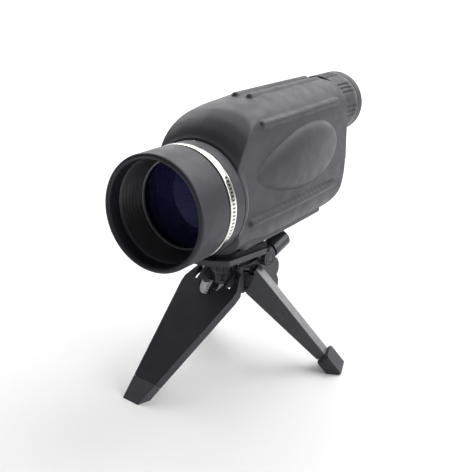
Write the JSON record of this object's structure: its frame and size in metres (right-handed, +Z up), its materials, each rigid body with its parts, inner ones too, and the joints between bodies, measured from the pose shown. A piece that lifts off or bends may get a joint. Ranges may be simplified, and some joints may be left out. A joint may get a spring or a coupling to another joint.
{
  "type": "spotting scope on table tripod",
  "caption": "Compact dark spotting scope with a wide lens hood and silver trim ring, on a folding three-legged table tripod with a tilting platform.",
  "frame": {"origin": "middle of the bounding box, at the level of the feet", "axes": "+Z up; the scope looks along -Y; +X is its right side seen from the front left"},
  "size_m": [0.1282, 0.2118, 0.156],
  "materials": {
    "armour": "fine-grained soft-touch skin, very dark grey",
    "hood": "satin black",
    "silver": "bright satin",
    "inner_black": "black",
    "coated_glass": "blue-violet coating",
    "rubber": "matte",
    "tripod_black": "satin moulded",
    "leg_grey": "moulded, slight sheen",
    "knob_black": "glossy",
    "steel": "plated",
    "brass": "machined"
  },
  "bodies": {
    "hub": {"hub": "tripod_black", "leg_pin_front_right": "steel", "leg_pin_front_left": "steel", "leg_pin_right": "steel", "leg_pin_left": "steel"},
    "front_leg": {"leg_front": "leg_grey", "foot_front": "rubber"},
    "right_leg": {"leg_right": "leg_grey", "foot_right": "rubber"},
    "left_leg": {"leg_left": "leg_grey", "foot_left": "rubber"},
    "platform": {"platform": "tripod_black", "platform_pad": "rubber", "tilt_bolt": "tripod_black", "tilt_nut": "tripod_black"},
    "lock_knob": {"lock_knob": "knob_black", "lock_stud": "steel"},
    "wheel": {"thumb_wheel": "tripod_black", "camera_screw": "steel"},
    "scope": {"housing_right": "armour", "housing_left": "armour", "prism_bracket": "inner_black", "prism_rear": "coated_glass", "prism_front": "coated_glass", "eyepiece_tube": "inner_black", "eyecup": "rubber", "eye_lens": "coated_glass", "field_lens": "coated_glass", "tripod_bush": "brass"},
    "focus_barrel": {"lens_hood": "hood", "trim_ring": "silver", "focus_collar": "armour", "objective_cell": "inner_black", "retaining_ring": "inner_black", "objective_crown": "coated_glass", "objective_flint": "coated_glass"},
    "zoom_ring": {"zoom_ring": "armour"},
    "zoom_carriage": {"zoom_carriage": "inner_black", "zoom_lens": "coated_glass"}
  },
  "joints": [
    {"name": "front_leg_fold", "type": "hinge", "parent": "hub", "child": "front_leg", "pos_m": [-0.0052, -0.03336, 0.053], "axis": [0.9848, -0.1736, 0], "range_deg": [0, 50]},
    {"name": "right_leg_fold", "type": "hinge", "parent": "hub", "child": "right_leg", "pos_m": [0.01293, -0.02529, 0.0517], "axis": [-0.342, 0.9397, 0], "range_deg": [0, 38]},
    {"name": "left_leg_fold", "type": "hinge", "parent": "hub", "child": "left_leg", "pos_m": [-0.01948, -0.01957, 0.0517], "axis": [-0.6428, -0.766, 0], "range_deg": [0, 38]},
    {"name": "tilt", "type": "hinge", "parent": "hub", "child": "platform", "pos_m": [-0.00163, -0.01307, 0.0624], "axis": [-0.9848, 0.1736, 0], "range_deg": [0, 30]},
    {"name": "lock_knob_turn", "type": "hinge", "parent": "platform", "child": "lock_knob", "pos_m": [0.00623, 0.00037, 0.0612], "axis": [0.1598, 0.9065, 0.3907], "continuous": true},
    {"name": "wheel_turn", "type": "hinge", "parent": "platform", "child": "wheel", "pos_m": [-0.00492, -0.03178, 0.059], "axis": [0, 0, 1], "continuous": true},
    {"name": "pan", "type": "hinge", "parent": "platform", "child": "scope", "pos_m": [-0.00492, -0.03178, 0.0743], "axis": [0, 0, 1], "continuous": true},
    {"name": "focus_turn", "type": "hinge", "parent": "scope", "child": "focus_barrel", "pos_m": [-0.00492, -0.07548, 0.1055], "axis": [0, -1, 0], "range_deg": [-135, 135]},
    {"name": "zoom_turn", "type": "hinge", "parent": "scope", "child": "zoom_ring", "pos_m": [-0.00492, 0.08452, 0.1353], "axis": [0, 1, 0], "range_deg": [0, 120]},
    {"name": "zoom_slide", "type": "slide", "parent": "scope", "child": "zoom_carriage", "axis": [0, 1, 0], "range_m": [0, 0.005]}
  ],
  "couplings": [
    {"joint": "zoom_slide", "follows": "zoom_turn", "m_per_rad": 0.002387}
  ]
}
